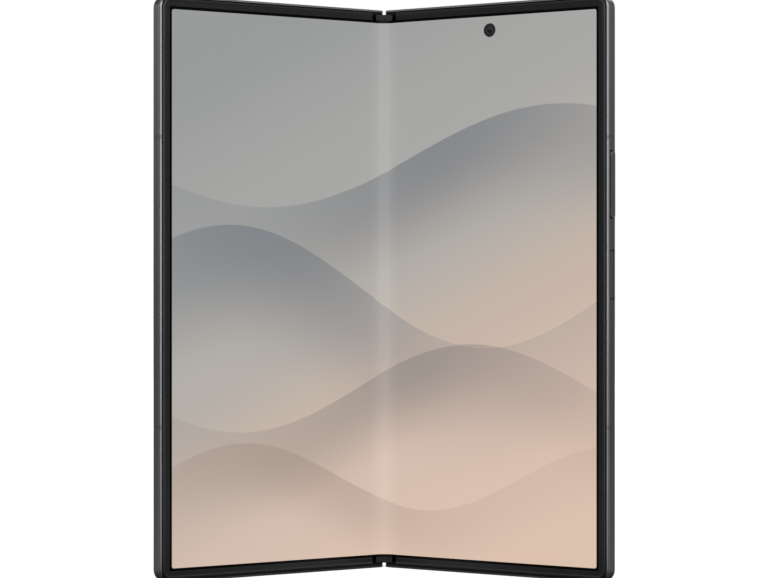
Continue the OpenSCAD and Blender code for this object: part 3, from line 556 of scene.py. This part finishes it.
SOFT_EDGES = [  # node, radius in mm, finish
    ("cover_glass", 0.16, cover_black),
    ("back_glass", 0.16, back_matt),
    ("camera_plate", 0.22, graphite_dark),
    ("camera_rings", 0.12, ring_metal),
    ("volume_rocker", 0.12, graphite),
    ("power_key", 0.08, graphite),
    ("hinge_end_caps", 0.08, black_nylon),
]
for node, radius, finish in SOFT_EDGES:
    made = softened(node, radius, finish)
    print(made.name, "faces:", len(made.data.polygons))

# %% [markdown]
# ## The display at the fold
#
# Between the two flat panels the display bends. It is modelled flat, as a thin slab
# with many cuts across, and then each point is turned by its share of the tilt, so with
# no tilt the slab would be straight. The share grows smoothly from the middle outwards.
# The strip is made in two halves, each bending between the spine and one half. Each
# point keeps its flat place, so the picture isn't stretched. Its back is a black film, so
# no light of the screen shows through the slits of the hinge.

# %% Bend the display
SCREEN_V = 0.2
SCREEN_T = 0.5
BEND_W = 4.5
BEND_LAND = 0.3  # runs on past the bend in line with the panel
BEND_CUTS = 40
HALVINGS = 40  # steps of the search for a point's share
TOUCHING = 1e-6

bend_x = (fold_u + (BEND_W - fold_u) * math.cos(tilt)
          + (SCREEN_V + SCREEN_T / 2 - FOLD_V) * math.sin(tilt))


def turned(u, v, share):
    """The flat place u, v after that share of the tilt."""
    angle = tilt * share
    return (fold_u + (u - fold_u) * math.cos(angle) + (v - FOLD_V) * math.sin(angle),
            FOLD_V - (u - fold_u) * math.sin(angle) + (v - FOLD_V) * math.cos(angle))


def bent(u, v):
    """Where the flat place u, v of the strip lies as the phone stands."""
    low, high = 0.0, 1.0
    for _ in range(HALVINGS):
        t = (low + high) / 2
        share = t * t * (3 - 2 * t)
        if turned(u, v, share)[0] > t * bend_x:
            low = t
        else:
            high = t
    return turned(u, v, share)


def fold_half(side):
    """Half of the bent strip, from the middle to the panel of that side."""
    low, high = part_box("display_fold_strip")
    bm = bmesh.new()
    bmesh.ops.create_cube(bm, size=1)
    width = BEND_W + BEND_LAND
    bmesh.ops.transform(bm, verts=bm.verts, matrix=Matrix.Translation(
        (width / 2, SCREEN_V + SCREEN_T / 2, (low.z + high.z) / 2 / MM))
        @ Matrix.Diagonal((width, SCREEN_T, (high.z - low.z) / MM, 1)))
    across = [e for e in bm.edges if abs(e.verts[0].co.x - e.verts[1].co.x) > width / 2]
    bmesh.ops.subdivide_edges(bm, edges=across, cuts=BEND_CUTS, use_grid_fill=True)
    for face in bm.faces:
        face.material_index = int(face.calc_center_median().y > SCREEN_V + SCREEN_T * 3 / 4)
    flat_place = bm.verts.layers.float_vector.new("flat_place")
    for vert in bm.verts:
        vert[flat_place] = (side * vert.co.x, 0, vert.co.z)
        x, y = bent(vert.co.x, vert.co.y) if vert.co.x > TOUCHING else (0, vert.co.y)
        vert.co = Vector((side * x, y + fold_y, vert.co.z)) * MM
    middle = [f for f in bm.faces if all(abs(v.co.x) < TOUCHING * MM for v in f.verts)]
    bmesh.ops.delete(bm, geom=middle, context="FACES_ONLY")
    bmesh.ops.recalc_face_normals(bm, faces=bm.faces)
    name = "fold_screen_right" if side > 0 else "fold_screen_left"
    piece = finish_piece(bm, name, screen_bend, None)
    piece.data.materials.append(screen_back)
    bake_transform(piece)
    return piece


fold_right = fold_half(1)
fold_half(-1)
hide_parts("display_fold_strip")
print("bend reaches", round(bend_x, 2), "mm each side of the fold")

# %% [markdown]
# ## Lenses
#
# A phone lens is a stack: a flat cover, a stepped black barrel that swallows stray
# light, and a small domed element deep in it. Everything is round about one axis, so an
# outline spun once round makes it. The steps are shallow, because the whole stack lies
# in the thickness of the ring.

# %% Spin an outline
SPIN_STEPS = 64
POLE_WELD = 0.001 * MM


def spun(outline, finish, name, body, where):
    """A round piece from an outline of radius and height, in millimetres."""
    bm = bmesh.new()
    verts = [bm.verts.new((r * MM, 0, h * MM)) for r, h in outline]
    edges = [bm.edges.new(pair) for pair in zip(verts, verts[1:])]
    bmesh.ops.spin(bm, geom=verts + edges, cent=(0, 0, 0), axis=(0, 0, 1), angle=math.tau,
                   steps=SPIN_STEPS, use_merge=True)
    bmesh.ops.remove_doubles(bm, verts=bm.verts, dist=POLE_WELD)
    bmesh.ops.recalc_face_normals(bm, faces=bm.faces)
    return finish_piece(bm, name, finish, body, where)


def dome(radius, rim, rise, steps=8):
    """Outline of a low dome from its rim to its middle."""
    return [(radius * math.cos(math.radians(90 * i / steps)),
             rim + rise * math.sin(math.radians(90 * i / steps))) for i in range(steps + 1)]


LENSES = 3
LENS_R = 4.45
LENS_U = HALF_W - 12.6
ISLAND_TOP = BODY_T + 1.0
# Radius and height in mm: the barrel's steps from the middle outwards, then the cover's edge
BARREL = [(0, 0.04), (2.5, 0.04), (2.55, 0.1), (2.9, 0.1), (3.0, 0.2), (3.45, 0.2), (3.6, 0.34)]
COVER_EDGE = [(LENS_R - 0.08, 0.36), (LENS_R, 0.3), (LENS_R, 0), (0, 0)]
ELEMENT_R, ELEMENT_FOOT, ELEMENT_RIM, ELEMENT_RISE = 2.3, 0.045, 0.06, 0.24

lens_low, lens_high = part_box("camera_lenses")
lens_top, lens_foot = lens_high.z / MM - LENS_R, lens_low.z / MM + LENS_R

for i in range(LENSES):
    z = lens_top + (lens_foot - lens_top) * i / (LENSES - 1)
    seat = facing(1, LENS_U, ISLAND_TOP, z, TO_BACK)
    lens_cover = spun(BARREL + COVER_EDGE, lens_black, f"rear_lens_cover_{i + 1}", "right_half", seat)
    element = spun([(0, ELEMENT_FOOT), (ELEMENT_R, ELEMENT_FOOT)]
                   + dome(ELEMENT_R, ELEMENT_RIM, ELEMENT_RISE),
                   lens_element, f"rear_lens_element_{i + 1}", "right_half", seat)
    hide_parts("camera_lenses")
print("rear lenses:", LENSES, "from height", round(lens_foot, 1), "to", round(lens_top, 1), "mm")

# %% [markdown]
# The front camera sits in a round hole of the display, and the outer one behind the
# cover glass. From the front only a black disc shows, with a faint ring and the glint of
# a very small element. The cover glass is opaque here, so the outer disc is laid on it,
# thinner than a hair.

# %% Front cameras
CAM_Z = body_h - 7.6
SMALL_CAMERAS = [  # name, side, body, u, v of its foot, where it faces, height, all in mm
    ("inner_camera", 1, "right_half", 34.7, SCREEN_V + 0.15, TO_FRONT, 0.13),
    ("cover_camera", -1, "left_half", 38.0, BODY_T, TO_BACK, 0.012),
]
# Radii in mm, all else as shares of the height
MASK = [(0, 0.0), (1.84, 0.0), (1.84, 0.9), (1.78, 1), (1.1, 1), (1.0, 0.4), (0, 0.4)]
EYE_R, EYE_FOOT, EYE_RIM, EYE_RISE = 0.85, 0.42, 0.45, 0.5

for name, side, body, u, v, turn, height in SMALL_CAMERAS:
    seat = facing(side, u, v, CAM_Z, turn)
    disc = spun([(r, height * share) for r, share in MASK], black_abs, name + "_mask", body, seat)
    eye = spun([(0, height * EYE_FOOT), (EYE_R, height * EYE_FOOT)]
               + dome(EYE_R, height * EYE_RIM, height * EYE_RISE),
               lens_element, name + "_element", body, seat)
print("small cameras:", len(SMALL_CAMERAS), "at height", round(CAM_Z, 1), "mm")

# %% [markdown]
# ## The flash
#
# The flash window is a clear disc with fine circular ridges that spread the light, like
# a small lighthouse lens.

# %% Flash window
FLASH_U = LENS_U - 10.5
FLASH_V = BODY_T + 0.05
FLASH_R = 1.8
FLASH_CLEARANCE = 0.06
WALL_H, GROOVE_H, RIDGE_H, FLASH_H = 0.06, 0.03, 0.08, 0.09
RIDGES = 5
RIDGED, SHOULDER = 0.8, 0.84  # shares of the radius: out to the last ridge and to the top's edge
CREST_AT = 0.4  # share of a ridge's width, from its inner foot

ridge_w = FLASH_R * RIDGED / RIDGES
wall_r = FLASH_R - FLASH_CLEARANCE
outline = [(0, 0), (wall_r, 0), (wall_r, WALL_H), (FLASH_R * SHOULDER, FLASH_H)]
for i in reversed(range(RIDGES)):
    outline += [((i + 1) * ridge_w, GROOVE_H), ((i + CREST_AT) * ridge_w, RIDGE_H)]
outline += [(0, FLASH_H)]
flash_window = spun(outline, flash_clear, "flash_window", "right_half",
                    facing(1, FLASH_U, FLASH_V, lens_top, TO_BACK))
print("flash ridges every", round(ridge_w, 2), "mm")

# %% [markdown]
# ## Socket contacts
#
# Looking into the charging socket one sees gold contacts on both sides of its tongue.
# They are thin bars in two rows, so a loop of small boxes in one mesh makes them.

# %% Socket contacts
SOCKET_U = 36.0
SOCKET_V = 2.33
CONTACTS = 12
CONTACT_PITCH = 0.5
CONTACT_W, CONTACT_T, CONTACT_L = 0.25, 0.04, 3.4
CONTACT_DEPTH = 1.6  # from the lower edge of the frame to their ends
TONGUE_HALF_T = 0.35

bm = bmesh.new()
for face in (-1, 1):
    for i in range(CONTACTS):
        middle = Matrix.Translation(((i - (CONTACTS - 1) / 2) * CONTACT_PITCH,
                                     face * (TONGUE_HALF_T + CONTACT_T / 2),
                                     CONTACT_DEPTH + CONTACT_L / 2))
        bmesh.ops.create_cube(bm, size=1,
                              matrix=middle @ Matrix.Diagonal((CONTACT_W, CONTACT_T, CONTACT_L, 1)))
bmesh.ops.scale(bm, vec=(MM,) * 3, verts=bm.verts)
contacts = finish_piece(bm, "socket_contacts", gold, "right_half",
                        Matrix.Translation(on_half(1, SOCKET_U, SOCKET_V, 0))
                        @ Matrix.Rotation(-tilt, 4, "Z"))
print("socket contacts:", 2 * CONTACTS)

# %% [markdown]
# ## Speaker meshes
#
# Behind the slots of each speaker lies a fine black cloth that keeps dust out. So little
# of it shows that a thin sheet is enough, and two sets of waves that cross are its weave.

# %% Speaker meshes
THREAD = 0.2  # spacing; the real threads lie 0.05 mm apart, too fine to show
WAVE_RATE = 20  # the wave texture turns through 20 radians in one unit at scale 1


def woven_mesh():
    """Acoustic cloth: two sets of fine threads."""
    made, tree, shader = material("black acoustic mesh", Roughness=0.7)
    place = add(tree, "TexCoord", out="Object")
    scale = math.tau / (THREAD * MM) / WAVE_RATE
    warp, weft = [add(tree, "TexWave", {"Vector": place, "Scale": scale}, "Fac", bands_direction=way)
                  for way in ("X", "Y")]
    cloth = add(tree, "Math", {0: warp, 1: weft}, operation="MULTIPLY")
    texture(tree, shader, cloth, 0.03, "#0b0b0c", cloth, 0.3)
    return made


acoustic_mesh = woven_mesh()
MESH_W, MESH_DEEP, MESH_T = 15.5, 1.1, 0.06
MESH_V = 2.3
MESH_DEPTH = 1.3  # from the edge of the frame
SPEAKERS = [("top_speaker_mesh", -1, "left_half", 22.5, body_h - MESH_DEPTH),
            ("bottom_speaker_mesh", 1, "right_half", HALF_W - 13.6, MESH_DEPTH)]
for name, side, body, u, z in SPEAKERS:
    bm = bmesh.new()
    bmesh.ops.create_cube(bm, size=1,
                          matrix=Matrix.Diagonal((MESH_W * MM, MESH_DEEP * MM, MESH_T * MM, 1)))
    mesh_piece = finish_piece(bm, name, acoustic_mesh, body,
                              Matrix.Translation(on_half(side, u, MESH_V, z))
                              @ Matrix.Rotation(-side * tilt, 4, "Z"))
print("speaker meshes:", len(SPEAKERS))

# %% [markdown]
# ## Finishes of the solids
#
# The remaining solids keep their shape and only get their finish, by name. Most of them
# hide inside the phone, where finer shapes would never be seen.

# %% Dress the solids
FINISHES = {
    graphite: ["left_frame", "right_frame", "sim_tray"],
    graphite_dark: ["spine_cover"],
    soft_rim: ["left_bezel", "right_bezel"],
    antenna: ["left_antenna_breaks", "right_antenna_breaks"],
    screen_left: ["left_display"],
    screen_right: ["right_display"],
    cover_black: ["cover_display_panel"],
    black_abs: ["inner_camera", "cover_camera", "camera_modules"],
    flash_clear: ["flash_led"],
    rolled_steel: ["left_support_plate", "right_support_plate"],
    hinge_steel: ["hinge_guide_blocks", "left_sliders", "right_sliders", "left_gear_arms",
                  "right_gear_arms", "left_idler_gears", "right_idler_gears"],
    bright_nickel: ["gear_shafts", "friction_disc_springs", "spine_screws", "left_hinge_screws",
                    "right_hinge_screws", "left_magnets", "right_magnets"],
    tinned_sheet: ["shield_cans", "sim_reader", "usb_port", "vibration_motor"],
    battery_wrap: ["left_battery", "right_battery"],
    solder_mask: ["left_board", "main_board", "charging_board"],
    chip_epoxy: ["left_board_chips"],
    speaker_box: ["top_speaker", "bottom_speaker"],
    polyimide: ["key_flex"],
    copper_wire: ["wireless_coil"],
}
for finish, names in FINISHES.items():
    for name in names:
        mesh = nodes[name].data
        mesh.materials.clear()
        mesh.materials.append(finish)
print("solids dressed:", sum(len(names) for names in FINISHES.values()))

# %% [markdown]
# The rounded edges of the frame get a lighter copy of the graphite, a painted highlight
# that strengthens the line of light the soft box draws on them. Their faces are the
# slanting ones in the outermost strip of each half. The flanks of the volume rocker and
# the edges of the antenna breaks get the same painted highlight. The walls inside, under
# the screen, are black as painted shade, and so is the side of the hinge cover that
# looks forwards, so nothing shines in the gaps at the fold.

# %% Paint highlights on the edges and shade inside
EDGE_STRIP = 0.7
SLANTING = (0.1, 0.995)  # the part of a face's normal that points to the front or the back
LIP_W = 0.65
INSIDE_FRONT, INSIDE_BACK = 0.95, 3.6  # v of the walls inside
OUTWARDS = 0.98  # a flank of the rocker points less than this out of the wall
FORWARDS = -0.05  # the y of a normal that looks forwards is below this


def treat_walls(node, side, edge_highlight_finish):
    """Gives the edges of a piece of the side walls a painted highlight and its inside a painted black shade."""
    mesh = nodes[node].data
    mesh.materials.append(edge_highlight_finish)
    mesh.materials.append(painted_shade_black)
    flatten = Matrix.Rotation(side * tilt, 3, "Z")
    axis = Vector((side * fold_u, fold_y + FOLD_V, 0))
    for face in mesh.polygons:
        normal = flatten @ face.normal
        place = flatten @ (face.center / MM - axis)
        u, v = side * place.x + fold_u, place.y + FOLD_V
        outside = min(HALF_W - u, place.z, body_h - place.z)
        if outside < EDGE_STRIP and SLANTING[0] < abs(normal.y) < SLANTING[1] and u > fold_u:
            face.material_index = 1
        elif outside > LIP_W and INSIDE_FRONT < v < INSIDE_BACK:
            face.material_index = 2
    return [sum(face.material_index == i for face in mesh.polygons) for i in (1, 2)]


for side, half in ((-1, "left"), (1, "right")):
    print(half, "painted highlight and painted shade faces:", treat_walls(half + "_frame", side, edge_highlight_metal),
          treat_walls(half + "_antenna_breaks", side, antenna_edge_highlight))

# The rocker's flanks get the lighter metal as a painted highlight.
rocker = bpy.data.objects["volume_rocker_soft"].data
rocker.materials.append(edge_highlight_metal)
flatten = Matrix.Rotation(tilt, 3, "Z")
for face in rocker.polygons:
    face.material_index = int(abs((flatten @ face.normal).x) < OUTWARDS)
print("painted highlight faces of the rocker:", sum(face.material_index for face in rocker.polygons))

# The side of the hinge cover that looks forwards is black as painted shade.
hinge_cover = nodes["spine_cover"].data
hinge_cover.materials.append(painted_shade_black)
for face in hinge_cover.polygons:
    face.material_index = int(face.normal.y < FORWARDS)
print("painted shade faces of the hinge cover:", sum(face.material_index for face in hinge_cover.polygons))

# %% [markdown]
# ## A white studio
#
# The floor and everything behind are white by a glow that only the camera sees, and not by
# strong lamps, so the phone itself is lit at a plain level. The floor still takes the
# phone's shadow. Metal and glass mirror a floor of their own: light beside and behind the
# phone, dark in front of it but for a path straight ahead, as a studio where black cards
# lie in front keeps the dark parts dark. That mirrored floor is a glow that takes no
# shadow, so a painted shade makes it darkest in a thin line where the walls stand on it.

# %% Floor
FLOOR_GLOW = 0.62
# The last value is a painted shade: how bright the mirrored floor is right where the walls stand.
FLOOR_FRONT, FLOOR_AHEAD, FLOOR_BESIDE, FLOOR_FAR, FLOOR_CONTACT_SHADE = 0.11, 0.45, 0.64, 0.44, 0.1
CONTACT_SHADE_REACH = (0.003, 0.02)  # all reaches in metres
FAR_REACH = (0.1, 0.6)
AHEAD_REACH = (0.04, 0.07)
AHEAD_SLANT = (0.6, 1.2)  # sideways for each step ahead
FRONT_EDGE = (-0.025, -0.005)
FLOOR_SIZE = 8.0
WHITE = (1, 1, 1, 1)

floor_white = bpy.data.materials.new("white studio floor")
floor_white.use_nodes = True
tree = floor_white.node_tree
tree.nodes.clear()
camera_ray = add(tree, "LightPath", out="Is Camera Ray")
glossy_ray = camera_ray.node.outputs["Is Glossy Ray"]
matt = add(tree, "BsdfDiffuse", {"Color": colour("#f2f2f2")})
glow = add(tree, "Emission", {"Color": WHITE, "Strength": FLOOR_GLOW})
glowing = add(tree, "AddShader", {0: matt, 1: glow})
seen = add(tree, "MixShader", {"Fac": camera_ray, 1: matt, 2: glowing})
place = add(tree, "TexCoord", out="Object")
one_side = add(tree, "VectorMath", {0: place, 1: (1, 0, 0)}, operation="MULTIPLY")
sideways = add(tree, "VectorMath", {0: one_side}, "Value", operation="LENGTH")
back = add(tree, "SeparateXYZ", {"Vector": place}, "Y")
beside = add(tree, "MapRange", {"Value": sideways, "From Min": FAR_REACH[0], "From Max": FAR_REACH[1],
                                "To Min": FLOOR_BESIDE, "To Max": FLOOR_FAR})
ahead = add(tree, "Math", {0: back, 1: -1.0}, operation="MULTIPLY")
slant = add(tree, "Math", {0: sideways, 1: ahead}, operation="DIVIDE")
path = add(tree, "MapRange", {"Value": slant, "From Min": AHEAD_SLANT[0], "From Max": AHEAD_SLANT[1],
                              "To Min": FLOOR_AHEAD, "To Max": FLOOR_FRONT},
           interpolation_type="SMOOTHSTEP")
front = add(tree, "MapRange", {"Value": ahead, "From Min": AHEAD_REACH[0], "From Max": AHEAD_REACH[1],
                               "To Min": FLOOR_FRONT, "To Max": path},
            interpolation_type="SMOOTHSTEP")
lit = add(tree, "MapRange", {"Value": back, "From Min": FRONT_EDGE[0], "From Max": FRONT_EDGE[1],
                             "To Min": front, "To Max": beside},
          interpolation_type="SMOOTHSTEP")
along = add(tree, "Math", {0: sideways, 1: math.tan(tilt), 2: back}, operation="MULTIPLY_ADD")
from_line = add(tree, "Math", {0: along, 1: (fold_y + FOLD_V) * MM}, operation="SUBTRACT")
from_wall = add(tree, "Math", {0: from_line}, operation="ABSOLUTE")
# Painted shade: the mirrored floor darkens towards the line where the walls stand on it.
mirrored = add(tree, "MapRange", {"Value": from_wall,
                                  "From Min": CONTACT_SHADE_REACH[0], "From Max": CONTACT_SHADE_REACH[1],
                                  "To Min": FLOOR_CONTACT_SHADE, "To Max": lit},
               interpolation_type="SMOOTHSTEP")
dim = add(tree, "Emission", {"Color": WHITE, "Strength": mirrored})
add(tree, "OutputMaterial", {"Surface": add(tree, "MixShader", {"Fac": glossy_ray, 1: seen, 2: dim})})

bm = bmesh.new()
bmesh.ops.create_grid(bm, x_segments=1, y_segments=1, size=FLOOR_SIZE / 2)
floor = finish_piece(bm, "studio_floor", floor_white, None)
print("floor", FLOOR_SIZE, "metres across")

# %% [markdown]
# The room that metal and glass mirror is worked out from the direction of a ray. The wall
# behind the phone is bright high up, a little more so on the left, the wall in front is
# dark, and the ceiling lies between. Each step blends two brightnesses with a smooth
# ramp: low wall to high wall, front to back, and walls to ceiling.

# %% The room
ROOM_DIFFUSE = 0.5
WALL_FRONT, WALL_BACK = 0.06, 0.46
WALL_BACK_HIGH_LEFT, WALL_BACK_HIGH_RIGHT = 1.9, 1.3
CEILING_FRONT, CEILING_BACK = 0.6, 0.3
HIGH_WALL_RISE = (0.0, 0.22)  # each ramp by a part of the direction
WALLS_BACKWARDS = (-0.25, 0.2)
CEILING_BACKWARDS = (-0.4, -0.04)
CEILING_RISE = (0.04, 0.4)

world = bpy.data.worlds.new("white studio")
bpy.context.scene.world = world
world.use_nodes = True
tree = world.node_tree
tree.nodes.clear()
camera_ray = add(tree, "LightPath", out="Is Camera Ray")
glossy_ray = camera_ray.node.outputs["Is Glossy Ray"]
backwards = add(tree, "SeparateXYZ", {"Vector": add(tree, "TexCoord", out="Generated")}, "Y")
upwards, rightwards = [backwards.node.outputs[way] for way in ("Z", "X")]
high = add(tree, "MapRange", {"Value": rightwards, "From Min": -1.0, "From Max": 1.0,
                              "To Min": WALL_BACK_HIGH_LEFT, "To Max": WALL_BACK_HIGH_RIGHT})
back_wall = add(tree, "MapRange", {"Value": upwards,
                                   "From Min": HIGH_WALL_RISE[0], "From Max": HIGH_WALL_RISE[1],
                                   "To Min": WALL_BACK, "To Max": high},
                interpolation_type="SMOOTHSTEP")
walls = add(tree, "MapRange", {"Value": backwards,
                               "From Min": WALLS_BACKWARDS[0], "From Max": WALLS_BACKWARDS[1],
                               "To Min": WALL_FRONT, "To Max": back_wall},
            interpolation_type="SMOOTHSTEP")
ceiling = add(tree, "MapRange", {"Value": backwards,
                                 "From Min": CEILING_BACKWARDS[0], "From Max": CEILING_BACKWARDS[1],
                                 "To Min": CEILING_FRONT, "To Max": CEILING_BACK},
              interpolation_type="SMOOTHSTEP")
room = add(tree, "MapRange", {"Value": upwards,
                              "From Min": CEILING_RISE[0], "From Max": CEILING_RISE[1],
                              "To Min": walls, "To Max": ceiling},
           interpolation_type="SMOOTHSTEP")
soft_light = add(tree, "MapRange", {"Value": glossy_ray, "To Min": ROOM_DIFFUSE, "To Max": room})
strength = add(tree, "MapRange", {"Value": camera_ray, "To Min": soft_light, "To Max": 1.0})
add(tree, "OutputWorld", {"Surface": add(tree, "Background", {"Color": WHITE, "Strength": strength})})
print("nodes in the room:", len(tree.nodes))

# %% [markdown]
# ## Lamps
#
# One broad soft box stands far in front. Its reflection runs down the rounded edges of
# the frame as a bright line, and the display mirrors it only where it faces the camera,
# at the fold. The flat parts of the display mirror the dark sides of the room. The box
# ends at the height of the floor, so the lines fade downwards. A weak lamp above draws
# the shadow, and a box high behind models the back. The lamps don't show to the camera.

# %% Lamps
FAR_LAMP = 1  # metres; lamps further away than this are aimed level, others at the foot


def soft_box(name, azimuth, distance, height, size, brightness):
    """A lamp that points to the phone, in metres. Brightness is what a mirror would show."""
    data = bpy.data.lights.new(name, "AREA")
    data.shape = "RECTANGLE"
    data.size, data.size_y = size
    data.energy = brightness * math.pi * size[0] * size[1]
    lamp = bpy.data.objects.new(name, data)
    turn = math.radians(azimuth)
    lamp.location = (distance * math.sin(turn), -distance * math.cos(turn), height)
    aim = Vector((0, 0, height if distance > FAR_LAMP else 0)) - lamp.location
    lamp.rotation_euler = aim.to_track_quat("-Z", "Y").to_euler()
    lamp.visible_camera = False
    bpy.context.scene.collection.objects.link(lamp)
    print(name, "of", size[0], "by", size[1], "metres,", distance, "metres away")


soft_box("front soft box", 5, 1.6, 0.7, (3.1, 1.4), 1.15)
soft_box("top lamp", 20, 0.5, 1.4, (0.9, 0.9), 1.0)
soft_box("rear soft box", 166, 1.5, 0.95, (1.5, 0.9), 2.0)

view = bpy.context.scene.view_settings
view.view_transform = "Standard"
